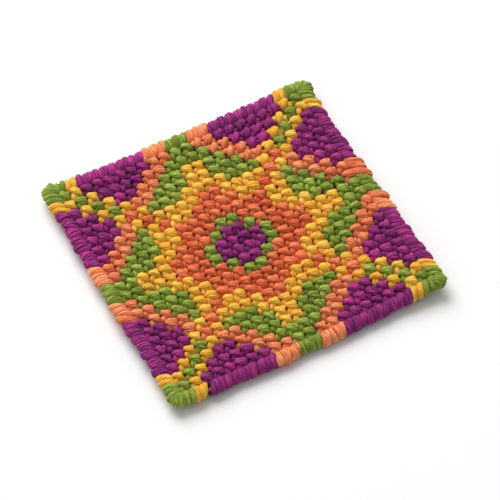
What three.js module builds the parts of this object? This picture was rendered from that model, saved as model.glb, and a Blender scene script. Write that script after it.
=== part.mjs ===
import * as THREE from 'three';

// Cross stitch mat: a square of open canvas filled with wool crosses, the canvas margin
// whipped over with the same wools. Millimetres, +Z up. X runs along the near side and Y
// along the left side. Everything is laid out flat and square first, then settled: drawn
// a little out of square and lifted at the left and right, as hand work lies on a table.

// Field of crosses
const CROSSES = 22;
const PITCH = 25.4 / 7; // seven crosses to the inch
const HALF_FIELD = (CROSSES / 2) * PITCH;
const CROWN = 4.5; // top of a cross, where its legs pass over each other
const HOLE = 3.1; // where four crosses share a hole of the canvas

// Canvas margin that the edge wool wraps
const MARGIN = 2.2;
const MARGIN_BOTTOM = 1.5;
const MARGIN_TOP = 3.0;
const MARGIN_CORNER = 0.75; // share of the margin that the trimmed corners keep

// Edge wool: a rounded bar with a slot for the margin, ridged where the turns lie
const EDGE_HEIGHT = 4.6;
const EDGE_ROUND = 2.2; // how far the round of the bar comes in from its reach
const EDGE_INNER_TOP = 3.5;
const TURNS_PER_CROSS = 1.5;
const RIDGE = 0.25; // how much lower the valleys between the turns are
const ROUND_STEPS = 6;
const CLEAR = 0.3; // gap between pieces that touch

// The corners: nine turns that fan round the corner of the field
const FAN_TURNS = 6;
const FAN_LENGTH = 6;
const FAN_FULLNESS = 0.12; // extra reach on the diagonal

// The crosses' commonest wool, which stands for all of them on the panel
const FIELD_COLOUR = 0xd0683f;

// How far each edge wool's turns reach past the field, and how the four sides differ
const WOOLS = {
  purple: { colour: 0x9a3079, reach: 4.0 },
  green: { colour: 0x7f9a3d, reach: 4.1 },
  coral: { colour: 0xe0805a, reach: 4.5 },
  gold: { colour: 0xe0a43a, reach: 4.1 },
};
const SIDES = [
  { name: 'near', extra: -0.15 },
  { name: 'right', extra: 0.1 },
  { name: 'far', extra: 0.25 },
  { name: 'left', extra: -0.05 },
];

// The lengths of wool along one side between its corners, in crosses
const RUNS = [
  { wool: 'gold', crosses: 1 },
  { wool: 'purple', crosses: 6 },
  { wool: 'coral', crosses: 2 },
  { wool: 'green', crosses: 2 },
  { wool: 'coral', crosses: 2 },
  { wool: 'purple', crosses: 6 },
  { wool: 'gold', crosses: 1 },
];

// How far the mat is drawn out of square. u and v run from -1 to 1 across the field, and
// each row adds its x and y millimetres times u to the power pu times v to the power pv.
const DRAWN = [
  { pu: 1, pv: 0, x: 0.4, y: 0.1 },
  { pu: 0, pv: 1, x: 0.3, y: -0.6 },
  { pu: 1, pv: 1, x: -0.7, y: -0.5 },
  { pu: 2, pv: 0, x: 0.1, y: 0.5 },
  { pu: 0, pv: 2, x: 0.4, y: 0.2 },
];

// How far the left and right sides lift off the table, from flat at the share start of u
const LIFT = { start: 0.4, left: 1.0, rightFar: 1.0, rightNear: 1.8 };

function liftAt(u, v) {
  const rise = (share) => (Math.max(0, share - LIFT.start) / (1 - LIFT.start)) ** 2;
  const near = THREE.MathUtils.clamp((1 - v) / 2, 0, 1);
  const right = THREE.MathUtils.lerp(LIFT.rightFar, LIFT.rightNear, near);
  return LIFT.left * rise(-u) + right * rise(u);
}

function settle(x, y, z) {
  const u = x / HALF_FIELD;
  const v = y / HALF_FIELD;
  const settled = new THREE.Vector3(x, y, z + liftAt(u, v));
  for (const row of DRAWN) {
    const amount = u ** row.pu * v ** row.pv;
    settled.x += row.x * amount;
    settled.y += row.y * amount;
  }
  return settled;
}

// Collects settled points and the triangles between them
class Skin {
  constructor() {
    this.positions = [];
    this.index = [];
    this.known = new Map();
  }

  point(x, y, z) {
    const key = [x, y, z].map((value) => value.toFixed(4)).join(' ');
    if (!this.known.has(key)) {
      this.known.set(key, this.positions.length / 3);
      this.positions.push(...settle(x, y, z).toArray());
    }
    return this.known.get(key);
  }

  quad(a, b, c, d) {
    this.index.push(a, b, c, a, c, d);
  }

  geometry() {
    const geometry = new THREE.BufferGeometry();
    geometry.setAttribute('position', new THREE.Float32BufferAttribute(this.positions, 3));
    geometry.setIndex(this.index);
    geometry.computeVertexNormals();
    return geometry;
  }
}

function piece(name, color, geometry) {
  const material = new THREE.MeshStandardMaterial({
    color,
    roughness: 0.9,
    metalness: 0,
  });
  const mesh = new THREE.Mesh(geometry, material);
  mesh.name = name;
  return mesh;
}

// The places round the field's edge, anticlockwise from the near left corner, one for each
// hole, with the direction that leads out from each
function fieldEdge() {
  const places = [];
  for (const side of SIDES.keys()) {
    const turn = (side * Math.PI) / 2;
    for (let hole = 0; hole < CROSSES; hole += 1) {
      const place = new THREE.Vector2(hole * PITCH - HALF_FIELD, -HALF_FIELD);
      const out = new THREE.Vector2(0, -1);
      if (hole === 0) out.set(-MARGIN_CORNER, -MARGIN_CORNER);
      places.push({
        place: place.rotateAround(new THREE.Vector2(), turn),
        out: out.rotateAround(new THREE.Vector2(), turn),
      });
    }
  }
  return places;
}

// The worked canvas: crosses as low pyramids from hole to hole, a flat underside, and a
// thin margin all round
function stitchedPanel() {
  const skin = new Skin();
  const hole = (column, row, z) =>
    skin.point(column * PITCH - HALF_FIELD, row * PITCH - HALF_FIELD, z);
  for (let column = 0; column < CROSSES; column += 1) {
    for (let row = 0; row < CROSSES; row += 1) {
      const crown = hole(column + 0.5, row + 0.5, CROWN);
      const square = [
        [column, row],
        [column + 1, row],
        [column + 1, row + 1],
        [column, row + 1],
      ];
      const top = square.map(([c, r]) => hole(c, r, HOLE));
      const bottom = square.map(([c, r]) => hole(c, r, 0));
      top.forEach((corner, i) => skin.index.push(corner, top[(i + 1) % 4], crown));
      skin.quad(bottom[3], bottom[2], bottom[1], bottom[0]);
    }
  }
  const levels = [
    { out: 0, z: 0 },
    { out: 0, z: MARGIN_BOTTOM },
    { out: MARGIN, z: MARGIN_BOTTOM },
    { out: MARGIN, z: MARGIN_TOP },
    { out: 0, z: MARGIN_TOP },
    { out: 0, z: HOLE },
  ];
  const columns = fieldEdge().map(({ place, out }) =>
    levels.map((level) => {
      const spot = place.clone().addScaledVector(out, level.out);
      return skin.point(spot.x, spot.y, level.z);
    }),
  );
  columns.forEach((here, i) => {
    const next = columns[(i + 1) % columns.length];
    for (let level = 0; level < levels.length - 1; level += 1) {
      skin.quad(here[level], next[level], next[level + 1], here[level + 1]);
    }
  });
  return piece('stitched_panel', FIELD_COLOUR, skin.geometry());
}

// Section of the edge wool, x outwards from the field and y up, for a given reach
function edgeProfile(reach) {
  const profile = new THREE.Shape();
  const slot = MARGIN + CLEAR;
  const centre = { x: reach - EDGE_ROUND, y: EDGE_HEIGHT / 2 };
  profile.moveTo(CLEAR, 0);
  for (let step = 0; step <= ROUND_STEPS; step += 1) {
    const angle = -Math.PI / 2 + (step * Math.PI) / ROUND_STEPS;
    profile.lineTo(
      centre.x + EDGE_ROUND * Math.cos(angle),
      centre.y + (EDGE_HEIGHT / 2) * Math.sin(angle),
    );
  }
  profile.lineTo(CLEAR, EDGE_INNER_TOP);
  profile.lineTo(CLEAR, MARGIN_TOP + CLEAR);
  profile.lineTo(slot, MARGIN_TOP + CLEAR);
  profile.lineTo(slot, MARGIN_BOTTOM - CLEAR);
  profile.lineTo(CLEAR, MARGIN_BOTTOM - CLEAR);
  profile.closePath();
  return profile;
}

// Draws in the round of the bar between two turns. Points near the slot and the underside
// stay where they are, so the wool clears the canvas and lies flat.
function sinkValley(point, reach, valley) {
  const slot = MARGIN + CLEAR;
  const outer = THREE.MathUtils.clamp((point.x - slot) / (reach - slot), 0, 1);
  const upper = THREE.MathUtils.clamp(point.y / EDGE_HEIGHT, 0, 1);
  point.x -= RIDGE * valley * outer;
  if (point.y > EDGE_INNER_TOP) point.y -= RIDGE * valley * upper;
}

// Bends a straight bar of edge wool onto its path. path(share) gives the point of the
// field's edge at that share of the bar's length, and the direction that leads out from
// there. Paths run anticlockwise, and the bar is laid clockwise so that its faces look out.
function edgeWool(name, wool, reach, turns, path) {
  const geometry = new THREE.ExtrudeGeometry(edgeProfile(reach), {
    depth: 1,
    steps: 2 * turns,
    bevelEnabled: false,
  });
  const positions = geometry.attributes.position;
  const point = new THREE.Vector3();
  for (let i = 0; i < positions.count; i += 1) {
    point.fromBufferAttribute(positions, i);
    const valley = 1 - Math.round(point.z * 2 * turns) % 2;
    sinkValley(point, reach, valley);
    const { place, out, fullness } = path(1 - point.z);
    const spot = place.clone().addScaledVector(out, point.x * fullness);
    positions.setXYZ(i, ...settle(spot.x, spot.y, point.y).toArray());
  }
  geometry.computeVertexNormals();
  return piece(name, WOOLS[wool].colour, geometry);
}

// Turns a place and a direction on the near side to another side of the mat
function onSide(side, place, out, fullness = 1) {
  const turn = (side * Math.PI) / 2;
  const middle = new THREE.Vector2();
  return {
    place: place.rotateAround(middle, turn),
    out: out.rotateAround(middle, turn),
    fullness,
  };
}

function sideRuns(side) {
  const pieces = [];
  let start = PITCH - HALF_FIELD;
  RUNS.forEach(({ wool, crosses }, order) => {
    const from = start + CLEAR / 2;
    const to = start + crosses * PITCH - CLEAR / 2;
    const path = (share) => {
      const place = new THREE.Vector2(THREE.MathUtils.lerp(from, to, share), -HALF_FIELD);
      return onSide(side, place, new THREE.Vector2(0, -1));
    };
    const reach = WOOLS[wool].reach + SIDES[side].extra;
    const turns = Math.round(crosses * TURNS_PER_CROSS);
    const name = `edge_${SIDES[side].name}_${order + 1}_${wool}`;
    pieces.push(edgeWool(name, wool, reach, turns, path));
    start += crosses * PITCH;
  });
  return pieces;
}

// The green wool that fans round the corner after a side: a cross along the side, the fan
// about the corner of the field, and a cross along the next side
function cornerRun(side) {
  const next = (side + 1) % SIDES.length;
  const straight = PITCH - CLEAR / 2;
  const length = 2 * straight + FAN_LENGTH;
  const path = (share) => {
    const along = share * length - straight;
    const fan = THREE.MathUtils.clamp(along / FAN_LENGTH, 0, 1);
    const angle = (fan * Math.PI) / 2;
    const before = Math.min(along, 0);
    const after = Math.max(along - FAN_LENGTH, 0);
    const place = new THREE.Vector2(HALF_FIELD + before, after - HALF_FIELD);
    const out = new THREE.Vector2(Math.sin(angle), -Math.cos(angle));
    const fullness = 1 + FAN_FULLNESS * Math.sin(2 * angle) ** 2;
    return onSide(side, place, out, fullness);
  };
  const extra = (SIDES[side].extra + SIDES[next].extra) / 2;
  const turns = FAN_TURNS + Math.round(2 * TURNS_PER_CROSS);
  const name = `edge_corner_${SIDES[side].name}_${SIDES[next].name}_green`;
  return edgeWool(name, 'green', WOOLS.green.reach + extra, turns, path);
}

const mat = new THREE.Group();
mat.add(stitchedPanel());
for (const side of SIDES.keys()) {
  mat.add(...sideRuns(side), cornerRun(side));
}

// The origin is under the middle of the mat, on the table
const box = new THREE.Box3().setFromObject(mat);
const middle = box.getCenter(new THREE.Vector3());
mat.position.set(-middle.x, -middle.y, -box.min.z);
mat.updateMatrixWorld(true);

export default mat;
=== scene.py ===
"""A small square mat worked in wool cross stitch, dressed stitch by stitch.

Each cross is two legs of plied wool over one crossing of an open canvas, with the bars that
carry the wool along the back. The canvas margin is whipped over with the same wools. All of
it is laid out flat and square in millimetres, then settled as hand work lies on a table and
put where the frame has it, in metres.
"""

import logging
import math
from dataclasses import dataclass, field
from enum import Enum

import bpy
import numpy as np
from mathutils import Matrix, Vector


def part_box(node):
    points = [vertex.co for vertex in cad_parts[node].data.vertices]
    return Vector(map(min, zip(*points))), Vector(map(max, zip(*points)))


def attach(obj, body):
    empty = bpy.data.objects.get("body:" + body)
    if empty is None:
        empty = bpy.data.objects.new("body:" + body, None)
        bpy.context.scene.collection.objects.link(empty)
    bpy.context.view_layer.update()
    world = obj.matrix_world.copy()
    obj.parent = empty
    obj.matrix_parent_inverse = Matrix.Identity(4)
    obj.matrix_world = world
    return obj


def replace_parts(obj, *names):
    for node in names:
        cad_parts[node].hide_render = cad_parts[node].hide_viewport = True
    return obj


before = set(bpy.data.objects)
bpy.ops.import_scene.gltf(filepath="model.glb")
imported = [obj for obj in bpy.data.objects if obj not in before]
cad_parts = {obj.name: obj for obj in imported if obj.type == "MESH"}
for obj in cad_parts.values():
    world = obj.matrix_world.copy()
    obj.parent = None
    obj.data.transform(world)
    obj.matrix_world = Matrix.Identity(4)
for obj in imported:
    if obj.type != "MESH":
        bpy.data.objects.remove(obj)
log = logging.getLogger("cross_stitch_mat")

MM = 0.001
PANEL_NODE = "stitched_panel"
FIBRE_SHIFT = 37.0
FIBRE_CYCLE = 101.0


class Wool(Enum):
    """The colours of wool."""

    PURPLE = "purple"
    GREEN = "green"
    CORAL = "coral"
    ORANGE = "orange"
    GOLD = "gold"


EDGE_WOOLS = (Wool.PURPLE, Wool.GREEN, Wool.CORAL, Wool.GOLD)


class Side(Enum):
    """The sides of the mat, each a quarter turn anticlockwise from the one before."""

    NEAR = 0
    RIGHT = 1
    FAR = 2
    LEFT = 3

    def spin(self) -> np.ndarray:
        """The turn that takes places on the near side to this one, shape (2, 2)."""
        turn = self.value * math.pi / 2.0
        return np.array([[math.cos(turn), -math.sin(turn)], [math.sin(turn), math.cos(turn)]])


@dataclass(frozen=True)
class Count:
    """The canvas count, which the other sizes follow, in millimetres."""

    crosses: int = 22
    pitch: float = 25.4 / 7.0
    margin: float = 2.2

    @property
    def half(self) -> float:
        """Half the width of the field of crosses."""
        return self.crosses * self.pitch / 2.0

    def middles(self) -> np.ndarray:
        """Where the middles of the crosses lie along one side."""
        return (np.arange(self.crosses) + 0.5) * self.pitch - self.half


@dataclass(frozen=True)
class Drawn:
    """One way in which the work is drawn out of square: x and y times u to pu times v to pv."""

    pu: int
    pv: int
    x: float
    y: float


@dataclass(frozen=True)
class Settling:
    """How the flat work lies once settled, in millimetres.

    u and v run from -1 to 1 across the field. The left and right sides rise off the table as
    the square of the way past the share start of u.
    """

    half: float
    terms: tuple[Drawn, ...] = (
        Drawn(1, 0, 0.4, 0.1),
        Drawn(0, 1, 0.3, -0.6),
        Drawn(1, 1, -0.7, -0.5),
        Drawn(2, 0, 0.1, 0.5),
        Drawn(0, 2, 0.4, 0.2),
    )
    start: float = 0.4
    left: float = 1.0
    right_far: float = 1.0
    right_near: float = 1.8

    def lift(self, u: np.ndarray, v: np.ndarray) -> np.ndarray:
        """How far each place rises off the table.

        Args:
            u: Place across, from -1 at the left to 1 at the right.
            v: Place along, from -1 at the near side to 1 at the far side.

        Returns:
            The rise at each place, in millimetres.
        """
        left = np.maximum(0.0, (-u - self.start) / (1.0 - self.start)) ** 2
        right = np.maximum(0.0, (u - self.start) / (1.0 - self.start)) ** 2
        near = np.clip((1.0 - v) / 2.0, 0.0, 1.0)
        right_rise = self.right_far + (self.right_near - self.right_far) * near
        return self.left * left + right_rise * right

    def settle(self, points: np.ndarray) -> np.ndarray:
        """Moves flat points to where they lie.

        Args:
            points: Points of the flat work, shape (..., 3).

        Returns:
            The settled points, same shape.
        """
        u = points[..., 0] / self.half
        v = points[..., 1] / self.half
        out = points.copy()
        for term in self.terms:
            amount = u**term.pu * v**term.pv
            out[..., 0] += term.x * amount
            out[..., 1] += term.y * amount
        out[..., 2] += self.lift(u, v)
        return out


@dataclass(frozen=True)
class Placing:
    """Takes settled millimetres to the frame's metres.

    The frame's origin is under the middle of the whole mat, so the shift is the difference
    between the CAD panel's box and the box of its rim, worked out from the same sizes.
    trimmed is the share of the margin that is left at the corners.
    """

    count: Count
    settling: Settling
    trimmed: float = 0.75

    def shift(self) -> np.ndarray:
        """Finds the way from settled millimetres to the frame's millimetres.

        Returns:
            The way, shape (3,).
        """
        holes = np.arange(1, self.count.crosses) * self.count.pitch - self.count.half
        reach = np.full_like(holes, self.count.half + self.count.margin)
        corner = self.count.half + self.count.margin * self.trimmed
        rim = np.concatenate(
            [
                np.stack([holes, -reach], axis=1),
                np.stack([holes, reach], axis=1),
                np.stack([-reach, holes], axis=1),
                np.stack([reach, holes], axis=1),
                np.array([[x, y] for x in (-corner, corner) for y in (-corner, corner)]),
            ]
        )
        settled = self.settling.settle(np.column_stack([rim, np.zeros(len(rim))]))
        middle = (settled.min(axis=0) + settled.max(axis=0)) / 2.0
        low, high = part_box(PANEL_NODE)
        shift = (np.array(low) + np.array(high)) / (2.0 * MM) - middle
        shift[2] = low.z / MM
        return shift

    def place(self, points: np.ndarray) -> np.ndarray:
        """Settles flat points and puts them in the frame, in metres."""
        return (self.settling.settle(points) + self.shift()) * MM


def directions(
    centre: np.ndarray, across: np.ndarray
) -> tuple[np.ndarray, np.ndarray, np.ndarray]:
    """Finds which way some centre lines run, and the two ways square to them.

    The line's way is its slope. The side is across less the share of it that runs along the
    line, and the rise is the cross product of line and side. Each is made one long.

    Args:
        centre: Centre lines, shape (strands, steps, 3).
        across: Rough directions across them, same shape or one that stretches to it.

    Returns:
        The line's way, the side and the rise, each of shape (strands, steps, 3).
    """
    line = np.gradient(centre, axis=1)
    line /= np.linalg.norm(line, axis=2, keepdims=True)
    side = across - line * np.sum(across * line, axis=2, keepdims=True)
    side /= np.linalg.norm(side, axis=2, keepdims=True)
    return line, side, np.cross(line, side)


def way_along(centre: np.ndarray) -> np.ndarray:
    """How far along its own line each point of some centre lines is, shape (strands, steps)."""
    pieces = np.linalg.norm(np.diff(centre, axis=1), axis=2)
    return np.concatenate([np.zeros((len(centre), 1)), np.cumsum(pieces, axis=1)], axis=1)


@dataclass
class Bundle:
    """Strands of one piece, gathered as whole arrays before they become a mesh.

    spun holds a seamless place in the yarn for the fibres: round the strand in x and y, and
    along it in z, shifted from strand to strand so that no two look alike. tone is how light
    a strand is. Besides tone, each point carries painted shade: darker deep in a stitch, on a
    ply's underside and where wool goes into the canvas, with some random darkening of edging turns.
    """

    points: list[np.ndarray] = field(default_factory=list)
    quads: list[np.ndarray] = field(default_factory=list)
    tips: list[np.ndarray] = field(default_factory=list)
    spun: list[np.ndarray] = field(default_factory=list)
    tone: list[np.ndarray] = field(default_factory=list)
    depth: list[np.ndarray] = field(default_factory=list)
    size: int = 0
    tip: float = 0.6

    def add_tubes(
        self,
        centre: np.ndarray,
        across: np.ndarray,
        wide: np.ndarray,
        thick: np.ndarray,
        sides: int,
        tone: np.ndarray,
        depth: np.ndarray,
    ) -> None:
        """Carries an oval along each centre line and closes both ends to a point.

        A ring point is the centre plus side times wide times the cosine, plus rise times
        thick times the sine, of the angle round the ring. An end's point lies past the last
        ring by the tip's share of the thickness.

        Args:
            centre: Centre lines, shape (strands, steps, 3).
            across: Rough directions across the strands, same shape or one that stretches to it.
            wide: Half widths, shape (strands, steps).
            thick: Half thicknesses, same shape.
            sides: Points round a ring.
            tone: How light each strand is, shape (strands,).
            depth: Painted shade of each step, shape (strands, steps).
        """
        strands, steps, _ = centre.shape
        line, side, rise = directions(centre, across)
        angle = np.arange(sides) * 2.0 * math.pi / sides
        cosine, sine = np.cos(angle)[None, None, :, None], np.sin(angle)[None, None, :, None]
        rings = (
            centre[:, :, None, :]
            + side[:, :, None, :] * wide[:, :, None, None] * cosine
            + rise[:, :, None, :] * thick[:, :, None, None] * sine
        )
        ends = centre[:, [0, -1]] + line[:, [0, -1]] * (
            thick[:, [0, -1], None] * np.array([-self.tip, self.tip])[None, :, None]
        )
        each = steps * sides + 2
        points = np.concatenate([rings.reshape(strands, steps * sides, 3), ends], axis=1)

        shifted = way_along(centre) + np.arange(strands)[:, None] * FIBRE_SHIFT % FIBRE_CYCLE
        around = np.stack(
            [
                np.broadcast_to(wide[:, :, None] * cosine[..., 0], rings.shape[:3]),
                np.broadcast_to(thick[:, :, None] * sine[..., 0], rings.shape[:3]),
                np.broadcast_to(shifted[:, :, None], rings.shape[:3]),
            ],
            axis=-1,
        )
        spun_ends = np.zeros((strands, 2, 3))
        spun_ends[:, :, 2] = shifted[:, [0, -1]]
        spun = np.concatenate([around.reshape(strands, steps * sides, 3), spun_ends], axis=1)
        # painted shade for each point, the closed ends taking that of their last ring
        deep = np.concatenate([np.repeat(depth, sides, axis=1), depth[:, [0, -1]]], axis=1)

        i, j = np.meshgrid(np.arange(steps - 1) * sides, np.arange(sides), indexing="ij")
        turn = (j + 1) % sides
        quad = np.stack([i + j, i + turn, i + sides + turn, i + sides + j], axis=-1)
        j = np.arange(sides)
        turn = (j + 1) % sides
        last = (steps - 1) * sides
        tip = np.concatenate(
            [
                np.stack([np.full(sides, each - 2), turn, j], axis=1),
                np.stack([np.full(sides, each - 1), last + j, last + turn], axis=1),
            ]
        )
        first = self.size + np.arange(strands)[:, None, None] * each
        self.points.append(points.reshape(-1, 3))
        self.spun.append(spun.reshape(-1, 3))
        self.tone.append(np.repeat(tone, each))
        self.depth.append(deep.reshape(-1))
        self.quads.append((quad.reshape(1, -1, 4) + first).reshape(-1, 4))
        self.tips.append((tip[None] + first).reshape(-1, 3))
        self.size += strands * each

    def make(self, name: str, placing: Placing) -> bpy.types.Object:
        """Makes the gathered strands one smooth mesh in the frame.

        Args:
            name: The piece's name.
            placing: Takes the flat points to the frame.

        Returns:
            The new object, at the origin, unturned and unscaled.
        """
        quads = np.concatenate(self.quads)
        tips = np.concatenate(self.tips)
        loops = np.concatenate([quads.reshape(-1), tips.reshape(-1)]).astype(np.int32)
        starts = np.concatenate(
            [np.arange(len(quads)) * 4, quads.size + np.arange(len(tips)) * 3],
        ).astype(np.int32)
        places = placing.place(np.concatenate(self.points)).astype(np.float32)
        mesh = bpy.data.meshes.new(name)
        mesh.vertices.add(self.size)
        mesh.vertices.foreach_set("co", places.ravel())
        mesh.loops.add(len(loops))
        mesh.loops.foreach_set("vertex_index", loops)
        mesh.polygons.add(len(starts))
        mesh.polygons.foreach_set("loop_start", starts)
        mesh.polygons.foreach_set("use_smooth", np.ones(len(starts), bool))
        mesh.update(calc_edges=True)
        spun = mesh.attributes.new("spun", "FLOAT_VECTOR", "POINT")
        spun.data.foreach_set("vector", np.concatenate(self.spun).astype(np.float32).ravel())
        for key, values in (("tone", self.tone), ("depth", self.depth)):
            layer = mesh.attributes.new(key, "FLOAT", "POINT")
            layer.data.foreach_set("value", np.concatenate(values).astype(np.float32))
        piece = bpy.data.objects.new(name, mesh)
        bpy.context.scene.collection.objects.link(piece)
        log.info("%s: %d triangles", name, 2 * len(quads) + len(tips))
        return piece


@dataclass(frozen=True)
class Yarn:
    """How a length of wool is plied: its plies lie round an oval and twist along it.

    ply is half the thickness of one, in millimetres, and largest its greatest share of the
    wool's. underside_shade is how much painted shade a ply on the underside takes. The drifts
    are how far plies differ.
    """

    plies: int
    sides: int
    ply: float
    turns_per_mm: float = -0.15
    underside_shade: float = 0.9
    largest: float = 0.7
    widened: float = 1.08
    least_room: float = 0.02
    size_drift: tuple[float, float] = (0.9, 1.12)
    angle_drift: float = 0.10
    tone_drift: float = 0.13

    def lay(
        self,
        bundle: Bundle,
        centre: np.ndarray,
        across: np.ndarray,
        wide: np.ndarray,
        thick: np.ndarray,
        start: np.ndarray,
        tone: np.ndarray,
        depth: np.ndarray,
        rng: np.random.Generator,
    ) -> None:
        """Lays the plies of some lengths of wool.

        A ply's middle is the wool's middle plus side times the room left in width times the
        cosine, plus rise times the room left in thickness times the sine, of an angle that
        grows along the wool. A ply takes more painted shade the further round to the underside it
        is.

        Args:
            bundle: Where the plies go.
            centre: Middles of the wool, shape (lengths, steps, 3).
            across: Directions across it, shape (lengths, steps, 3).
            wide: Half widths of the wool, shape (lengths, steps).
            thick: Half thicknesses, same shape.
            start: Angle of the first ply at the start of each length, shape (lengths,).
            tone: How light each length is, shape (lengths,).
            depth: Painted shade of each step, shape (lengths, steps).
            rng: Source of the small differences between plies.
        """
        lengths, steps, _ = centre.shape
        _, side, rise = directions(centre, across)
        order = np.arange(self.plies) * 2.0 * math.pi / self.plies
        angle = (
            start[:, None, None]
            + order[None, :, None]
            + 2.0 * math.pi * self.turns_per_mm * way_along(centre)[:, None, :]
            + rng.normal(0.0, self.angle_drift, (lengths, self.plies, 1))
        )
        shape = (lengths, self.plies, steps)
        sizes = rng.uniform(*self.size_drift, (lengths, self.plies, 1))
        most = np.minimum(self.ply, self.largest * thick)
        radius = np.broadcast_to(most[:, None, :] * sizes, shape)
        room_wide = np.maximum(wide[:, None, :] - radius, self.least_room)
        room_thick = np.maximum(thick[:, None, :] - radius, self.least_room)
        middle = (
            centre[:, None]
            + side[:, None] * (room_wide * np.cos(angle))[..., None]
            + rise[:, None] * (room_thick * np.sin(angle))[..., None]
        )
        count = lengths * self.plies
        tones = tone[:, None] + rng.normal(0.0, self.tone_drift, (lengths, self.plies))
        # painted shade: plies darken the further round to the underside of the wool they lie
        ply_shades = depth[:, None] + self.underside_shade * (0.5 - 0.5 * np.sin(angle))
        bundle.add_tubes(
            middle.reshape(count, steps, 3),
            np.broadcast_to(side[:, None], (*shape, 3)).reshape(count, steps, 3),
            radius.reshape(count, steps) * self.widened,
            radius.reshape(count, steps),
            self.sides,
            tones.reshape(count),
            ply_shades.reshape(count, steps),
        )


@dataclass(frozen=True)
class Design:
    """Which wool each cross takes, by rings round the middle of the mat.

    Every rule goes by how many crosses a cross lies from the two middle lines, a and b. A
    cross is in the first ring whose number is at least their sum. A stem runs out along each
    diagonal, where a and b are alike, with gold on both sides.
    """

    count: Count
    rings: tuple[tuple[int, Wool], ...] = (
        (1, Wool.PURPLE),
        (2, Wool.GREEN),
        (5, Wool.ORANGE),
        (7, Wool.GOLD),
        (10, Wool.GREEN),
        (12, Wool.CORAL),
        (20, Wool.PURPLE),
    )
    stem_start: int = 3
    stem_green: int = 7
    gold_tips: tuple[tuple[int, int], ...] = ((8, 0), (0, 8), (5, 3), (3, 5))
    turned_fan: int = 11

    def chart(self) -> np.ndarray:
        """Finds the wool of each cross.

        Returns:
            An array of Wool, by column and row.
        """
        half = self.count.crosses // 2
        place = np.arange(self.count.crosses)
        from_middle = np.where(place >= half, place - half, half - 1 - place)
        a, b = np.meshgrid(from_middle, from_middle, indexing="ij")
        chart = np.full(a.shape, Wool.PURPLE, dtype=object)
        for reach, wool in reversed(self.rings):
            chart[a + b <= reach] = wool
        for tip in self.gold_tips:
            chart[(a == tip[0]) & (b == tip[1])] = Wool.GOLD
        lower = np.minimum(a, b)
        chart[(np.abs(a - b) == 1) & (lower >= self.stem_start)] = Wool.GOLD
        chart[(a == b) & (a >= self.stem_start)] = Wool.ORANGE
        chart[(a == b) & (a >= self.stem_green)] = Wool.GREEN
        return chart

    def leans(self) -> np.ndarray:
        """Finds which way each top leg runs.

        The crosses of the far fan on the right were worked the other way.

        Returns:
            1 for up to the left or -1 for up to the right, by column and row.
        """
        half = self.count.crosses // 2
        place = np.arange(self.count.crosses) - half
        column, row = np.meshgrid(place, place, indexing="ij")
        turned = (column >= 0) & (row > column) & (column + row >= self.turned_fan)
        return np.where(turned, -1, 1)


@dataclass(frozen=True)
class LegShape:
    """Sizes of one leg of a cross, in millimetres, from its foot in a hole to its crown.

    turned is in degrees from the line of the rows. fullness is the power of the sine that
    gives the rise, and widening of the one that gives the width: the lower they are, the
    sooner the leg is high and wide.
    """

    turned: float
    reach: float
    foot: float
    crown: float
    wide_foot: float
    wide_crown: float
    thick_foot: float
    thick_crown: float
    fullness: float
    steps: int
    seed: int
    widening: float = 0.8


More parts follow.
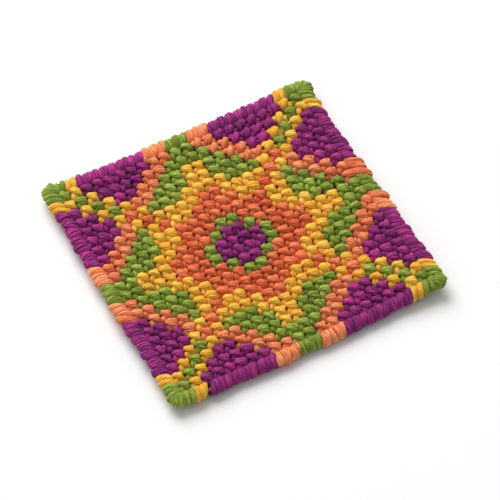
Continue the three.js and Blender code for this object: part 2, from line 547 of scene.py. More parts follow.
@dataclass
class Crosses:
    """The crosses on the front: an under leg and a top leg for each.

    The drifts are how far crosses differ: turn_drift in degrees, size_drift and tone_drift as
    shares and the others in millimetres. The columns of drift are for the turn, the bow, the
    crown, the size, the bulge of the bars on the back and the place along the leg.
    """

    count: Count
    design: Design
    top: LegShape = LegShape(
        turned=56.0,
        reach=1.62,
        foot=1.25,
        crown=4.05,
        wide_foot=0.72,
        wide_crown=1.15,
        thick_foot=0.55,
        thick_crown=0.92,
        fullness=0.65,
        steps=12,
        seed=423,
    )
    under: LegShape = LegShape(
        turned=45.0,
        reach=2.0,
        foot=1.55,
        crown=3.2,
        wide_foot=1.15,
        wide_crown=1.2,
        thick_foot=0.8,
        thick_crown=0.8,
        fullness=0.4,
        steps=9,
        seed=338,
    )
    top_yarn: Yarn = Yarn(6, 5, 0.52)
    under_yarn: Yarn = Yarn(5, 5, 0.52)
    turn_drift: float = 9.0
    bow_drift: float = 0.12
    along_drift: float = 0.1
    crown_drift: float = 0.12
    size_drift: float = 0.09
    tone_drift: float = 0.09
    drift_limit: float = 2.0
    seed: int = 11
    middles: np.ndarray = field(init=False)
    chart: np.ndarray = field(init=False)
    lean: np.ndarray = field(init=False)
    drift: np.ndarray = field(init=False)
    tone: np.ndarray = field(init=False)

    def __post_init__(self) -> None:
        """Places the crosses and draws their differences, before they part by colour."""
        rng = np.random.default_rng(self.seed)
        place = self.count.middles()
        x, y = np.meshgrid(place, place, indexing="ij")
        self.middles = np.stack([x.ravel(), y.ravel(), np.zeros(x.size)], axis=1)
        self.chart = self.design.chart().ravel()
        self.lean = self.design.leans().ravel()
        self.drift = rng.normal(0.0, 1.0, (x.size, 6))
        self.tone = rng.normal(0.0, self.tone_drift, x.size)

    def legs(
        self, bundle: Bundle, chosen: np.ndarray, shape: LegShape, yarn: Yarn, slant: np.ndarray
    ) -> None:
        """Lays one leg of each chosen cross.

        Along the leg the place is minus the reach times the cosine of the way, and the height
        is the foot plus the rise to the crown times the sine to the power of the fullness.
        The width grows from foot to crown with the sine to the power of the widening, and the
        thickness with the sine.

        Args:
            bundle: Where the strands go.
            chosen: Which crosses, a mask.
            shape: The leg's sizes.
            yarn: How its wool is plied.
            slant: 1 where the leg runs up to the left, -1 where it runs up to the right.
        """
        rng = np.random.default_rng(shape.seed)
        drift = self.drift[chosen]
        held = np.clip(drift, -self.drift_limit, self.drift_limit)
        way = np.linspace(0.0, math.pi, shape.steps)
        hump = np.sin(way)[None, :]
        turn = np.radians(-shape.turned * slant[chosen] + self.turn_drift * drift[:, 0])
        run = np.stack([np.cos(turn), np.sin(turn), np.zeros_like(turn)], axis=1)
        across = np.stack([-np.sin(turn), np.cos(turn), np.zeros_like(turn)], axis=1)
        centre = (
            self.middles[chosen][:, None, :]
            + run[:, None, :] * (-shape.reach * np.cos(way))[None, :, None]
            + across[:, None, :] * (self.bow_drift * drift[:, 1:2] * hump)[..., None]
            + run[:, None, :] * (self.along_drift * drift[:, 5:6] * hump)[..., None]
        )
        crown = shape.crown + self.crown_drift * held[:, 2:3]
        centre[..., 2] = shape.foot + (crown - shape.foot) * hump**shape.fullness
        size = 1.0 + self.size_drift * held[:, 3:4]
        growth = (shape.wide_crown - shape.wide_foot) * hump**shape.widening
        wide = (shape.wide_foot + growth) * size
        growth = (shape.thick_crown - shape.thick_foot) * hump * np.ones_like(size)
        thick = shape.thick_foot + growth
        # painted shade: a leg darkens the further below the top leg's crown it lies
        below = (shape.crown - centre[..., 2]) / (self.top.crown - self.top.foot)
        yarn.lay(
            bundle,
            centre,
            np.broadcast_to(across[:, None, :], centre.shape),
            wide,
            thick,
            rng.uniform(0.0, 2.0 * math.pi, len(turn)),
            self.tone[chosen],
            np.clip(below, 0.0, 1.0),
            rng,
        )

    def build(self, wool: Wool, placing: Placing) -> bpy.types.Object:
        """Makes the crosses of one wool.

        Args:
            wool: Which wool.
            placing: Takes the flat points to the frame.

        Returns:
            The new piece.
        """
        bundle = Bundle()
        chosen = self.chart == wool
        self.legs(bundle, chosen, self.under, self.under_yarn, -self.lean)
        self.legs(bundle, chosen, self.top, self.top_yarn, self.lean)
        return bundle.make(f"{wool.value}_crosses", placing)


@dataclass
class BackBars:
    """The bars under the canvas: two for each cross, side by side, from hole to hole.

    Sizes are in millimetres, and reach is a share of the pitch to each side of the middle.
    """

    count: Count
    crosses: Crosses
    yarn: Yarn = Yarn(3, 4, 0.45, -0.1)
    foot: float = 1.9
    low: float = 0.72
    wide: float = 0.85
    wide_end: float = 0.5
    thick: float = 0.58
    thick_end: float = 0.4
    reach: float = 0.49
    inset: float = 0.15
    bulge: float = 0.98
    bulge_drift: float = 0.06
    fullness: float = 0.6
    end_shade: float = 0.6
    steps: int = 7
    seed: int = 23

    def build(self, wool: Wool, placing: Placing) -> bpy.types.Object:
        """Makes the bars behind the crosses of one wool.

        A bar runs along y. It bulges from the hole line towards the middle of its cross, and
        dips under the canvas, as the sine of the way to the power of the fullness.

        Args:
            wool: Which wool.
            placing: Takes the flat points to the frame.

        Returns:
            The new piece.
        """
        bundle = Bundle()
        chosen = self.crosses.chart == wool
        middles = self.crosses.middles[chosen]
        drift = self.crosses.drift[chosen]
        rng = np.random.default_rng(self.seed)
        way = np.linspace(0.0, math.pi, self.steps)
        hump = np.sin(way)[None, :]
        for side in (-1, 1):
            centre = np.repeat(middles[:, None, :], self.steps, axis=1)
            bulge = self.wide * self.bulge + self.bulge_drift * drift[:, 4:5] * side
            dip = hump**self.fullness
            centre[..., 0] += side * (self.count.pitch / 2.0 - self.inset - bulge * dip)
            centre[..., 1] += -self.reach * self.count.pitch * np.cos(way)[None, :]
            centre[..., 2] = self.foot - (self.foot - self.low) * dip
            alike = np.ones((len(middles), 1))
            wide = (self.wide_end + (self.wide - self.wide_end) * hump) * alike
            thick = (self.thick_end + (self.thick - self.thick_end) * hump) * alike
            self.yarn.lay(
                bundle,
                centre,
                np.broadcast_to(np.array([1.0, 0.0, 0.0]), centre.shape),
                wide,
                thick,
                rng.uniform(0.0, 2.0 * math.pi, len(middles)),
                self.crosses.tone[chosen],
                # painted shade: the bars darken towards their ends, where they go into the holes
                np.broadcast_to(1.0 - hump, wide.shape) * self.end_shade,
                rng,
            )
        return bundle.make(f"{wool.value}_back_bars", placing)


@dataclass(frozen=True)
class Run:
    """A length of one wool along the edge, in crosses."""

    wool: Wool
    crosses: int


@dataclass(frozen=True)
class Tail:
    """A cut end of wool tucked along the edge, in millimetres.

    buried is how much of it lies under its own turns, inset how far its middle is inside the
    edging's skin, and drawn_in and fall how far in and down it goes on its way. It tapers
    with the square of the way.
    """

    length: float = 3.2
    buried: float = 1.2
    inset: float = 0.75
    drawn_in: float = 0.1
    height: float = 2.2
    fall: float = 1.0
    size: float = 0.85
    taper: float = 0.5
    flatness: float = 0.9
    # painted shade on the tucked end, in proportion to its size
    depth: float = 0.4
    steps: int = 9


@dataclass
class Edging:
    """The wool whipped over the canvas margin, a winding for each length of colour.

    Each turn rises from a hole at the field's edge, goes over the margin, round and back
    under it. Sizes are in millimetres: reach is how far the wool's skin comes out from the
    field, which side_extra changes for a side, slant how far a turn leans along the edge,
    tuck how far it starts inside the field, and slack the gap at the start of the length
    that has the loose end. boxed is the power of the sine that gives the height: the lower it
    is, the squarer the turn. The drifts are how far turns differ.
    """

    count: Count
    runs: tuple[Run, ...] = (
        Run(Wool.GOLD, 1),
        Run(Wool.PURPLE, 6),
        Run(Wool.CORAL, 2),
        Run(Wool.GREEN, 2),
        Run(Wool.CORAL, 2),
        Run(Wool.PURPLE, 6),
        Run(Wool.GOLD, 1),
    )
    reach: dict[Wool, float] = field(
        default_factory=lambda: dict(zip(EDGE_WOOLS, (4.0, 4.1, 4.5, 4.1)))
    )
    side_extra: dict[Side, float] = field(
        default_factory=lambda: dict(zip(Side, (-0.15, 0.1, 0.25, -0.05)))
    )
    turns_per_cross: dict[Side, float] = field(
        default_factory=lambda: dict(zip(Side, (1.5, 1.05, 1.4, 1.1)))
    )
    slant: dict[Side, float] = field(
        default_factory=lambda: dict(zip(Side, (-0.6, -2.2, -0.8, -1.4)))
    )
    yarn: Yarn = Yarn(7, 5, 0.42, -0.07)
    height: float = 4.6
    thick: float = 0.95
    tuck: float = 0.45
    boxed: float = 1.3
    out_power: float = 1.1
    width_share: float = 0.63
    width_limits: tuple[float, float] = (0.5, 1.85)
    waist: float = 0.85
    waist_growth: float = 0.15
    waist_power: float = 0.7
    thick_inside: float = 0.7
    thick_growth: float = 0.3
    inside_shade: float = 0.4
    proud_depth: float = 0.25
    uneven: float = 0.2
    out_drift: float = 0.24
    along_drift: float = 0.18
    sag_drift: float = 0.08
    swell_drift: float = 0.05
    tone_drift: float = 0.08
    drift_limit: float = 1.5
    slack: float = 0.9
    tail: Tail = Tail()
    tail_at: tuple[Side, int] = (Side.NEAR, 1)
    # painted light and shade: each wool's edging is made lighter or darker than its crosses, to
    # match how light falls on the edges
    tone: dict[Wool, float] = field(
        default_factory=lambda: dict(zip(EDGE_WOOLS, (0.08, -0.08, 0.08, 0.0)))
    )
    straight_turns: int = 2
    fan_turns: int = 7
    fan_fullness: float = 0.12
    fan_overlap: float = 1.35
    steps_per_turn: int = 16
    seed: int = 41
    bundles: dict[Wool, Bundle] = field(init=False)
    nodes: dict[Wool, list[str]] = field(init=False)

    def __post_init__(self) -> None:
        """Winds every length, each into its wool's bundle."""
        rng = np.random.default_rng(self.seed)
        self.bundles = {wool: Bundle() for wool in self.reach}
        self.nodes = {wool: [] for wool in self.reach}
        for side in Side:
            start = self.count.pitch
            for order, run in enumerate(self.runs):
                name = f"edge_{side.name.lower()}_{order + 1}_{run.wool.value}"
                length = run.crosses * self.count.pitch
                turns = max(2, math.ceil(run.crosses * self.turns_per_cross[side]))
                with_tail = (side, order) == self.tail_at
                slack = self.slack if with_tail else 0.0
                self.wind_side(side, run.wool, start + slack, length - slack, turns, rng)
                if with_tail:
                    self.leave_tail(side, run.wool, start + length - self.count.half, rng)
                self.nodes[run.wool].append(name)
                start += length
            following = Side((side.value + 1) % len(Side))
            name = f"edge_corner_{side.name.lower()}_{following.name.lower()}_green"
            self.wind_corner(side, following, rng)
            self.nodes[Wool.GREEN].append(name)

    def wind(
        self,
        side: Side,
        wool: Wool,
        way: np.ndarray,
        place: np.ndarray,
        out: np.ndarray,
        reach: np.ndarray,
        spacing: np.ndarray,
        slant: np.ndarray,
        rng: np.random.Generator,
    ) -> None:
        """Winds one length of wool over the margin, from the end of its places to their start.

        Over is half less half the cosine of the turn's angle. The way out is the room times
        over to the out_power, less the tuck times what over leaves of one. The height is the
        middle plus half the room in height times the signed sine to the power boxed. The lean
        along the edge is the slant times over. The half width is a share of the spacing,
        measured square to a leaning turn, and least at the waist, where the sine is small.
        The columns of loose are how much further out, lower and along a turn lies.

        Args:
            side: The side whose frame the places are in.
            wool: Which wool.
            way: The turn's angle at each step, from the hole up and over.
            place: Point of the field's edge at each step, shape (steps, 2), on the near side.
            out: Direction outwards at each step, shape (steps, 2), on the near side.
            reach: How far out the wool's skin comes, shape (steps,).
            spacing: Room for one turn at each step, at its outer side, shape (steps,).
            slant: How far along the edge the wool leans at its outer side, shape (steps,).
            rng: Source of the small differences.
        """
        place, out, reach, spacing, slant = (
            each[::-1] for each in (place, out, reach, spacing, slant)
        )
        turns = int(round(way[-1] / (2.0 * math.pi)))
        which = np.clip((way / (2.0 * math.pi)).astype(int), 0, turns - 1)
        loose = rng.normal(0.0, 1.0, (turns, 3))[which]
        held = np.clip(loose, -self.drift_limit, self.drift_limit)
        room = reach + self.out_drift * held[:, 0] - self.thick
        over = 0.5 - 0.5 * np.cos(way)
        outwards = room * over**self.out_power - self.tuck * (1.0 - over)
        upwards = np.sin(way)
        squared = np.sign(upwards) * np.abs(upwards) ** self.boxed
        half_height = self.height / 2.0 - self.thick
        sag = 1.0 + self.sag_drift * np.minimum(loose[:, 1], 0.0)
        z = self.height / 2.0 + half_height * squared * sag
        edge = np.stack([-out[:, 1], out[:, 0]], axis=1)
        lean = slant * over + self.along_drift * held[:, 2] * over
        spot = place + out * outwards[:, None] + edge * lean[:, None]
        spin = side.spin()
        outer = np.clip(outwards / room, 0.0, 1.0)
        square = reach / np.hypot(reach, np.abs(slant) + spacing / 2.0)
        swell = (self.waist + self.waist_growth * np.abs(upwards) ** self.waist_power) * (
            1.0 + self.swell_drift * np.maximum(loose[:, 1], -1.0)
        )
        wide = np.clip(self.width_share * spacing * square, *self.width_limits) * swell
        thick = self.thick * (self.thick_inside + self.thick_growth * outer**0.5)
        # painted shade: a turn darkens towards its start inside the field's edge; turns that stand
        # further out are also darkened at random
        inside = self.inside_shade * (1.0 - outer) ** 3
        self.yarn.lay(
            self.bundles[wool],
            np.column_stack([spot @ spin.T, z])[None],
            np.column_stack([edge @ spin.T, np.zeros(len(z))])[None],
            wide[None],
            thick[None],
            rng.uniform(0.0, 2.0 * math.pi, 1),
            rng.normal(self.tone[wool], self.tone_drift, 1),
            (inside + self.proud_depth * np.maximum(loose[:, 0], 0.0))[None],
            rng,
        )

    def wind_side(
        self,
        side: Side,
        wool: Wool,
        start: float,
        length: float,
        turns: int,
        rng: np.random.Generator,
    ) -> None:
        """Winds one straight length along a side, in turns of uneven width that fill it.

        Args:
            side: Which side.
            wool: Which wool.
            start: Where it starts, from the side's first corner.
            length: How long it is.
            turns: How many turns it has.
            rng: Source of the small differences.
        """
        steps = turns * self.steps_per_turn + 1
        share = np.linspace(0.0, 1.0, steps)
        drift = np.clip(rng.normal(0.0, 1.0, turns), -self.drift_limit, self.drift_limit)
        widths = 1.0 + self.uneven * drift
        ends = np.concatenate([[0.0], np.cumsum(widths)]) * length / widths.sum()
        along = np.interp(share * turns, np.arange(turns + 1), ends) + start - self.count.half
        spacing = np.interp(share * turns, np.arange(turns) + 0.5, np.diff(ends))
        place = np.stack([along, np.full(steps, -self.count.half)], axis=1)
        out = np.tile([0.0, -1.0], (steps, 1))
        reach = np.full(steps, self.reach[wool] + self.side_extra[side])
        way = share * turns * 2.0 * math.pi
        slant = np.full(steps, self.slant[side])
        self.wind(side, wool, way, place, out, reach, spacing, slant, rng)

    def leave_tail(self, side: Side, wool: Wool, end: float, rng: np.random.Generator) -> None:
        """Leaves the wool's cut end tucked along the edge, straight, under the next colour.

        Args:
            side: Which side.
            wool: Which wool.
            end: Where the colour ends along the side.
            rng: Source of the small differences.
        """
        tail = self.tail
        share = np.linspace(0.0, 1.0, tail.steps)
        x = end - tail.buried + (tail.length + tail.buried) * share
        y = -self.count.half - self.reach[wool] + tail.inset + tail.drawn_in * share
        z = tail.height - tail.fall * share
        centre = np.column_stack([np.stack([x, y], axis=1) @ side.spin().T, z])[None]
        size = (tail.size - tail.taper * share**2)[None]
        self.yarn.lay(
            self.bundles[wool],
            centre,
            np.broadcast_to(np.array([0.0, 0.0, 1.0]), centre.shape),
            size,
            tail.flatness * size,
            np.zeros(1),
            np.zeros(1),
            # painted shade on the tucked end, in proportion to its thickness
            tail.depth * size,
            rng,
        )

    def wind_corner(self, side: Side, following: Side, rng: np.random.Generator) -> None:
        """Winds the green length that fans round the corner after a side.

        Its first and last turns are straight, a cross long each way. The turns between them
        all start at the field's corner, and point outwards by equal shares of a right angle.
        They reach further by the square of the sine of twice that angle. The spacing is
        smoothed over one turn.

        Args:
            side: The side before the corner.
            following: The side after it.
            rng: Source of the small differences.
        """
        straight = self.count.pitch
        turns = self.fan_turns + 2 * self.straight_turns
        steps = turns * self.steps_per_turn + 1
        count = np.linspace(0.0, turns, steps)
        past = count - self.straight_turns
        fan = np.clip(past / self.fan_turns, 0.0, 1.0)
        before = np.minimum(past, 0.0) * straight / self.straight_turns
        after = np.maximum(past - self.fan_turns, 0.0) * straight / self.straight_turns
        place = np.stack([self.count.half + before, after - self.count.half], axis=1)
        angle = fan * math.pi / 2.0
        out = np.stack([np.sin(angle), -np.cos(angle)], axis=1)
        extra = (self.side_extra[side] + self.side_extra[following]) / 2.0
        fuller = 1.0 + self.fan_fullness * np.sin(2.0 * angle) ** 2
        reach = (self.reach[Wool.GREEN] + extra) * fuller
        inside = (past > 0.0) & (past < self.fan_turns)
        fan_spacing = self.fan_overlap * reach * 0.5 * math.pi / self.fan_turns
        spacing = np.where(inside, fan_spacing, straight / self.straight_turns)
        soft = np.ones(self.steps_per_turn) / self.steps_per_turn
        half_turn = self.steps_per_turn // 2
        padded = np.pad(spacing, half_turn, mode="edge")
        spacing = np.convolve(padded, soft, mode="same")[half_turn:][:steps]
        slant = self.slant[side] + (self.slant[following] - self.slant[side]) * fan
        self.wind(side, Wool.GREEN, count * 2.0 * math.pi, place, out, reach, spacing, slant, rng)

    def build(self, wool: Wool, placing: Placing) -> bpy.types.Object:
        """Makes the windings of one wool, which stand for their CAD solids."""
        piece = self.bundles[wool].make(f"{wool.value}_edging", placing)
        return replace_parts(piece, *self.nodes[wool])


@dataclass
class Canvas:
    """The open canvas: stiff threads both ways, each over one and under the next."""

    count: Count
    wide: float = 0.56
    thick: float = 0.33
    middle: float = 2.25
    wave: float = 0.3
    short_end: float = 1.0
    steps_per_cross: int = 3
    sides: int = 6

    def build(self, placing: Placing) -> bpy.types.Object:
        """Makes the net of threads.

        A thread runs straight, and its height is the middle plus the wave times the cosine of
        half a turn for each crossing, so that neighbours take turns to lie on top.

        Args:
            placing: Takes the flat points to the frame.

        Returns:
            The new piece.
        """
        bundle = Bundle()
        threads = self.count.crosses + 2
        number = np.arange(threads)
        place = (number - 0.5) * self.count.pitch - self.count.half
        ends = np.full(threads, self.count.half + self.count.margin)
        ends[[0, -1]] = self.count.half + self.short_end
        share = np.linspace(-1.0, 1.0, self.steps_per_cross * threads + 1)
        along = ends[:, None] * share[None, :]
        crossing = (along + self.count.half) / self.count.pitch + 0.5
        rise = self.wave * np.cos(math.pi * (crossing - number[:, None]))
        fixed = np.repeat(place[:, None], share.size, axis=1)
        wide = np.full(fixed.shape, self.wide)
        thick = np.full(fixed.shape, self.thick)
        for lengthwise in (True, False):
            x, y = (fixed, along) if lengthwise else (along, fixed)
            centre = np.stack([x, y, self.middle + (rise if lengthwise else -rise)], axis=-1)
            square = np.array([1.0, 0.0, 0.0] if lengthwise else [0.0, 1.0, 0.0])
            across = np.broadcast_to(square, centre.shape)
            level = np.zeros(fixed.shape)
            bundle.add_tubes(centre, across, wide, thick, self.sides, level[:, 0], level)
        return bundle.make("canvas", placing)


def srgb(red: int, green: int, blue: int) -> tuple[float, float, float, float]:
    """Turns a colour as a screen shows it into light for a shader, by the usual curve.

    Args:
        red: From 0 to 255.
        green: The same.
        blue: The same.

    Returns:
        Red, green and blue from 0 to 1, and a 1 for solid.
    """
    parts = [part / 255.0 for part in (red, green, blue)]
    linear = [
        part / 12.92 if part <= 0.04045 else ((part + 0.055) / 1.055) ** 2.4 for part in parts
    ]
    return (*linear, 1.0)


def fill(node: bpy.types.Node, values: dict[str, object]) -> None:
    """Sets the values of a node's inputs, by their names."""
    for name, value in values.items():
        node.inputs[name].default_value = value


@dataclass(frozen=True)
class ShaderNodes:
    """Short ways to add nodes and links to one node tree."""

    tree: bpy.types.NodeTree

    def add(self, kind: str, **settings: object) -> bpy.types.Node:
        """Adds a node.

        Args:
            kind: Which node.
            settings: Its options.

        Returns:
            The node.
        """
        node = self.tree.nodes.new(kind)
        for key, value in settings.items():
            setattr(node, key, value)
        return node

    def link(self, source: bpy.types.NodeSocket, target: bpy.types.NodeSocket) -> None:
        """Joins two sockets."""
        self.tree.links.new(source, target)

    def attribute(self, name: str) -> bpy.types.Node:
        """Adds a node that reads one of a strand's values."""
        return self.add("ShaderNodeAttribute", attribute_name=name)

    def maths(
        self, operation: str, *values: bpy.types.NodeSocket | float
    ) -> bpy.types.NodeSocket:
        """Adds a Math node.

        Args:
            operation: Which sum.
            values: Two or three sockets or numbers.

        Returns:
            The result's socket.
        """
        node = self.add("ShaderNodeMath", operation=operation)
        for socket, value in zip(node.inputs, values):
            if isinstance(value, bpy.types.NodeSocket):
                self.link(value, socket)
            else:
                socket.default_value = value
        return node.outputs[0]

    def noise(
        self, place: bpy.types.NodeSocket, stretch: tuple[float, float, float] | None, detail: float
    ) -> bpy.types.Node:
        """Adds noise.

        Args:
            place: Where in the yarn each point lies.
            stretch: How the place is scaled round and along the strand first, if it is.
            detail: How many finer layers it has.

        Returns:
            The noise node.
        """
        if stretch is not None:
            drawn = self.add("ShaderNodeMapping", vector_type="POINT")
            fill(drawn, {"Scale": stretch})
            self.link(place, drawn.inputs["Vector"])
            place = drawn.outputs["Vector"]
        noise = self.add("ShaderNodeTexNoise", noise_dimensions="3D")
        fill(noise, {"Detail": detail})
        self.link(place, noise.inputs["Vector"])
        return noise

    def mix(self, factor: bpy.types.NodeSocket) -> bpy.types.Node:
        """Adds a mix of two colours, A and B.

        Args:
            factor: How much of B.

        Returns:
            The mix.
        """
        node = self.add("ShaderNodeMix", data_type="RGBA", clamp_factor=True)
        self.link(factor, node.inputs["Factor"])
        return node

    def bump(
        self, height: bpy.types.NodeSocket, strength: float, distance: float
    ) -> bpy.types.NodeSocket:
        """Adds bumps.

        Args:
            height: Height at each point, from 0 to 1.
            strength: How much of them shows.
            distance: Height that 1 stands for, in metres.

        Returns:
            The bumped normal.
        """
        node = self.add("ShaderNodeBump")
        fill(node, {"Strength": strength, "Distance": distance})
        self.link(height, node.inputs["Height"])
        return node.outputs["Normal"]


def new_material(
    name: str, values: dict[str, object]
) -> tuple[bpy.types.Material, ShaderNodes, bpy.types.Node]:
    """Makes a material.

    Args:
        name: Its name.
        values: Values of its shader's inputs.

    Returns:
        The material, its nodes and its shader.
    """
    made = bpy.data.materials.new(name)
    made.use_nodes = True
    shader = made.node_tree.nodes["Principled BSDF"]
    fill(shader, values)
    return made, ShaderNodes(made.node_tree), shader


@dataclass(frozen=True)
class SpunFibre:
    """The look of spun wool, which every wool shares.

    Long noise along the strand makes its fibres and broad noise makes soft patches. The
    swings are how far they move the colour either way, where 0.5 is from mid to light. The
    strand's painted shade darkens its colour in hollows and on undersides.
    """

    fibre_stretch: tuple[float, float, float] = (3.0, 3.0, 0.45)
    fibre_detail: float = 3.0
    fibre_roughness: float = 0.6
    fibre_swing: float = 1.1
    patch_scale: float = 0.5
    patch_detail: float = 1.0
    patch_swing: float = 0.35

    def group(self) -> bpy.types.ShaderNodeTree:
        """Makes the group of nodes.

        The level is a half, plus the fibres' and the patches' swing and the strand's tone,
        less the strand's painted shade times the hollow shade. The colour goes from deep at 0 over
        mid at a half to light at 1, so the deep colour is also the painted shade.

        Returns:
            A group with the wool's three colours in, and its colour and height out.
        """
        tree = bpy.data.node_groups.new("spun_fibre", "ShaderNodeTree")
        sockets = [(name, "INPUT", "NodeSocketColor") for name in ("Deep", "Mid", "Light")]
        sockets += [(name, "INPUT", "NodeSocketFloat") for name in ("Fibre Size", "Hollow Shade")]
        sockets += [("Color", "OUTPUT", "NodeSocketColor"), ("Height", "OUTPUT", "NodeSocketFloat")]
        for name, in_out, kind in sockets:
            tree.interface.new_socket(name, in_out=in_out, socket_type=kind)
        nodes = ShaderNodes(tree)
        source = nodes.add("NodeGroupInput").outputs
        result = nodes.add("NodeGroupOutput").inputs
        spun = nodes.attribute("spun").outputs["Vector"]
        tone = nodes.attribute("tone").outputs["Fac"]
        depth = nodes.attribute("depth").outputs["Fac"]

        fibres = nodes.noise(spun, self.fibre_stretch, self.fibre_detail)
        fill(fibres, {"Roughness": self.fibre_roughness})
        nodes.link(source["Fibre Size"], fibres.inputs["Scale"])
        patches = nodes.noise(spun, None, self.patch_detail)
        fill(patches, {"Scale": self.patch_scale})

        streak, patch = (
            nodes.maths("MULTIPLY_ADD", noise.outputs["Fac"], 2.0 * swing, -swing)
            for noise, swing in ((fibres, self.fibre_swing), (patches, self.patch_swing))
        )
        level = nodes.maths("ADD", nodes.maths("ADD", streak, patch), tone)
        # painted shade: the level drops with the strand's painted shade, darkening hollows and
        # undersides
        shade = nodes.maths("MULTIPLY", depth, source["Hollow Shade"])
        level = nodes.maths("ADD", nodes.maths("SUBTRACT", level, shade), 0.5)

        low = nodes.mix(nodes.maths("MULTIPLY", level, 2.0))
        nodes.link(source["Deep"], low.inputs["A"])
        nodes.link(source["Mid"], low.inputs["B"])
        high = nodes.mix(nodes.maths("MULTIPLY_ADD", level, 2.0, -1.0))
        nodes.link(low.outputs["Result"], high.inputs["A"])
        nodes.link(source["Light"], high.inputs["B"])
        nodes.link(high.outputs["Result"], result["Color"])
        nodes.link(fibres.outputs["Fac"], result["Height"])
        return tree


@dataclass(frozen=True)
class WoolFinish:
    """One wool's finish: deep, mid and light colours, the deep one doubling as painted shade."""

    wool: Wool
    # deep is the colour of dark fibres and also the painted shade in hollows and under plies
    deep: tuple[float, float, float, float]
    mid: tuple[float, float, float, float]
    light: tuple[float, float, float, float]
    fibre_size: float = 1.0
    hollow_shade: float = 0.6
    bump: float = 0.7
    bump_height: float = 0.00018
    roughness: float = 0.86
    shine: float = 0.25
    sheen: float = 0.25
    sheen_roughness: float = 0.5
    glow: float = 0.35
    glow_spread: tuple[float, float, float] = (1.0, 0.5, 0.6)
    glow_depth: float = 0.0006

    def material(self, group: bpy.types.ShaderNodeTree) -> bpy.types.Material:
        """Makes the wool's material.

        Args:
            group: The look of spun wool.

        Returns:
            The material.
        """
        made, nodes, shader = new_material(
            f"{self.wool.value}_wool",
            {
                "Roughness": self.roughness,
                "Specular IOR Level": self.shine,
                "Subsurface Weight": self.glow,
                "Subsurface Radius": self.glow_spread,
                "Subsurface Scale": self.glow_depth,
                "Sheen Weight": self.sheen,
                "Sheen Roughness": self.sheen_roughness,
                "Sheen Tint": self.light,
            },
        )
        look = nodes.add("ShaderNodeGroup", node_tree=group)
        fill(look, {"Deep": self.deep, "Mid": self.mid, "Light": self.light})
        fill(look, {"Fibre Size": self.fibre_size, "Hollow Shade": self.hollow_shade})
        normal = nodes.bump(look.outputs["Height"], self.bump, self.bump_height)
        nodes.link(look.outputs["Color"], shader.inputs["Base Color"])
        nodes.link(normal, shader.inputs["Normal"])
        return made


@dataclass(frozen=True)
class CanvasFinish:
    """The finish of the canvas threads: stiffened cotton in a dark brown that paints shade in gaps.
    """

    # painted shade: both browns are dark so the canvas showing between stitches reads as the shade
    # there
    pale: tuple[float, float, float, float] = srgb(150, 118, 84)
    shade: tuple[float, float, float, float] = srgb(104, 78, 52)
    roughness: float = 0.7
    shine: float = 0.35
    slub_stretch: tuple[float, float, float] = (5.0, 5.0, 0.8)
    slub_scale: float = 1.2
    slub_detail: float = 3.0
    bump: float = 0.4
    bump_height: float = 0.0001

    def material(self) -> bpy.types.Material:
        """Makes the canvas material, its slubs running along the threads.

        Returns:
            The material.
        """
        made, nodes, shader = new_material(
            "canvas_thread", {"Roughness": self.roughness, "Specular IOR Level": self.shine}
        )
        spun = nodes.attribute("spun").outputs["Vector"]
        slubs = nodes.noise(spun, self.slub_stretch, self.slub_detail)
        fill(slubs, {"Scale": self.slub_scale})
        colour = nodes.mix(slubs.outputs["Fac"])
        fill(colour, {"A": self.shade, "B": self.pale})
        normal = nodes.bump(slubs.outputs["Fac"], self.bump, self.bump_height)
        nodes.link(colour.outputs["Result"], shader.inputs["Base Color"])
        nodes.link(normal, shader.inputs["Normal"])
        return made


# Each deep colour doubles as the painted shade in hollows and under plies.
WOOL_FINISHES = (
    WoolFinish(Wool.PURPLE, srgb(98, 30, 88), srgb(150, 45, 116), srgb(194, 57, 140)),
    WoolFinish(Wool.GREEN, srgb(104, 120, 38), srgb(140, 158, 60), srgb(174, 194, 88)),
    WoolFinish(Wool.CORAL, srgb(206, 100, 64), srgb(236, 138, 90), srgb(252, 176, 126)),
    WoolFinish(Wool.ORANGE, srgb(194, 82, 46), srgb(228, 116, 72), srgb(248, 154, 104)),
    WoolFinish(Wool.GOLD, srgb(216, 150, 44), srgb(244, 184, 68), srgb(255, 216, 102)),
)


@dataclass(frozen=True)
class Viewpoint:
    """The photograph's angle and framing, with sizes in millimetres and pixels.

    clip is in metres. middle is the field's middle before it is put in the frame.
    """

    turn: float = math.radians(28.68)
    elevation: float = math.radians(53.37)
    distance: float = 2402.0
    lens: float = 600.0
    sensor: float = 36.0
    clip: tuple[float, float] = (0.1, 20.0)
    frame_pixels: float = 500.0
    middle_seen_at: tuple[float, float] = (242.24, 250.13)
    middle: tuple[float, float, float] = (0.13, -0.28, 0.0)

    def build(self, placing: Placing) -> bpy.types.Object:
        """Makes the camera, aimed so that the field's middle is seen where the photo has it.

        The aim is the field's middle, moved right and up by the pixels between where it is
        seen and the picture's middle, over the pixels in a millimetre. Those are the frame's
        pixels times the lens over the sensor and the distance.

        Args:
            placing: Takes the field's middle to the frame.

        Returns:
            The camera.
        """
        sine, cosine, level = math.sin(self.turn), math.cos(self.turn), math.cos(self.elevation)
        right = Vector((cosine, -sine, 0.0))
        back = Vector((-sine * level, -cosine * level, math.sin(self.elevation)))
        up = back.cross(right)
        pixels_per_mm = self.frame_pixels * self.lens / self.sensor / self.distance
        off_right = (self.frame_pixels / 2.0 - self.middle_seen_at[0]) / pixels_per_mm
        off_up = (self.middle_seen_at[1] - self.frame_pixels / 2.0) / pixels_per_mm
        aim = Vector(self.middle) + Vector(placing.shift()) + right * off_right + up * off_up
        data = bpy.data.cameras.new("camera")
        data.lens = self.lens
        data.sensor_width = self.sensor
        data.clip_start, data.clip_end = self.clip
        camera = bpy.data.objects.new("camera", data)
        axes = Matrix((right, up, back)).transposed().to_4x4()
        camera.matrix_world = Matrix.Translation((aim + back * self.distance) * MM) @ axes
        bpy.context.scene.collection.objects.link(camera)
        bpy.context.scene.camera = camera
        return camera


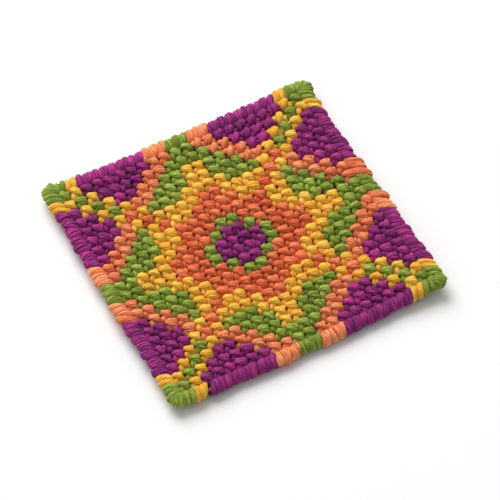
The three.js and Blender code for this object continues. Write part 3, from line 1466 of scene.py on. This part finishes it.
@dataclass(frozen=True)
class Studio:
    """A plain white floor, a white sky and one broad soft lamp from the far side, in metres.

    The sky is brightest towards the far left. Its strength grows evenly from sky_low, where
    a direction's share along sky_way is sky_from or less, to sky_high along sky_way itself.
    """

    floor_size: float = 8.0
    floor_shade: float = 0.8
    floor_roughness: float = 0.9
    lamp_way: tuple[float, float, float] = (0.0, 0.85, 1.0)
    lamp_distance: float = 2.4
    lamp_size: float = 2.0
    lamp_watts: float = 62.0
    sky_way: tuple[float, float, float] = (-0.35, 0.45, 0.9)
    sky_from: float = -0.4
    sky_low: float = 0.2
    sky_high: float = 0.75

    def lay_floor(self) -> None:
        """Makes the floor."""
        half = self.floor_size / 2.0
        square = [(-half, -half, 0.0), (half, -half, 0.0), (half, half, 0.0), (-half, half, 0.0)]
        mesh = bpy.data.meshes.new("floor")
        mesh.from_pydata(square, [], [(0, 1, 2, 3)])
        floor = bpy.data.objects.new("floor", mesh)
        bpy.context.scene.collection.objects.link(floor)
        paper, _, _ = new_material(
            "floor_paper",
            {
                "Base Color": (self.floor_shade, self.floor_shade, self.floor_shade, 1.0),
                "Roughness": self.floor_roughness,
                "Specular IOR Level": 0.0,
            },
        )
        mesh.materials.append(paper)

    def light_sky(self) -> None:
        """Makes the sky, white and with no sun."""
        world = bpy.data.worlds.new("sky")
        world.use_nodes = True
        light = world.node_tree.nodes["Background"]
        fill(light, {"Color": (1.0, 1.0, 1.0, 1.0)})
        nodes = ShaderNodes(world.node_tree)
        direction = nodes.add("ShaderNodeTexCoord")
        toward = nodes.add("ShaderNodeVectorMath", operation="DOT_PRODUCT")
        toward.inputs[1].default_value = Vector(self.sky_way).normalized()
        nodes.link(direction.outputs["Generated"], toward.inputs[0])
        strength = nodes.add("ShaderNodeMapRange")
        levels = {"From Min": self.sky_from, "To Min": self.sky_low, "To Max": self.sky_high}
        fill(strength, levels)
        nodes.link(toward.outputs["Value"], strength.inputs["Value"])
        nodes.link(strength.outputs["Result"], light.inputs["Strength"])
        bpy.context.scene.world = world

    def hang_lamp(self) -> None:
        """Makes the lamp, a disc that faces the mat."""
        data = bpy.data.lights.new("key_lamp", "AREA")
        data.shape = "DISK"
        data.size = self.lamp_size
        data.energy = self.lamp_watts
        lamp = bpy.data.objects.new("key_lamp", data)
        way = Vector(self.lamp_way).normalized()
        facing = way.to_track_quat("Z", "Y").to_matrix().to_4x4()
        lamp.matrix_world = Matrix.Translation(way * self.lamp_distance) @ facing
        bpy.context.scene.collection.objects.link(lamp)

    def build(self) -> None:
        """Makes the floor, the sky and the lamp."""
        self.lay_floor()
        self.light_sky()
        self.hang_lamp()
        bpy.context.scene.view_settings.view_transform = "Standard"


def main() -> None:
    """Builds the mat, the canvas first, then the wools, and the studio round it."""
    logging.basicConfig(level=logging.INFO, format="%(message)s")
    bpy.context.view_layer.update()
    count = Count()
    placing = Placing(count, Settling(count.half))
    Viewpoint().build(placing)
    Studio().build()

    canvas = Canvas(count)
    crosses = Crosses(count, Design(count))
    bars = BackBars(count, crosses)
    edging = Edging(count)
    net = canvas.build(placing)
    net.data.materials.append(CanvasFinish().material())
    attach(net, "root")
    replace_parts(net, PANEL_NODE)

    group = SpunFibre().group()
    wools = []
    for finish in WOOL_FINISHES:
        made = [crosses.build(finish.wool, placing), bars.build(finish.wool, placing)]
        for piece in made:
            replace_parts(piece, PANEL_NODE)
        if finish.wool in edging.bundles:
            made.append(edging.build(finish.wool, placing))
        material = finish.material(group)
        for piece in made:
            piece.data.materials.append(material)
            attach(piece, "root")
        wools += made


if __name__ == "__main__":
    main()
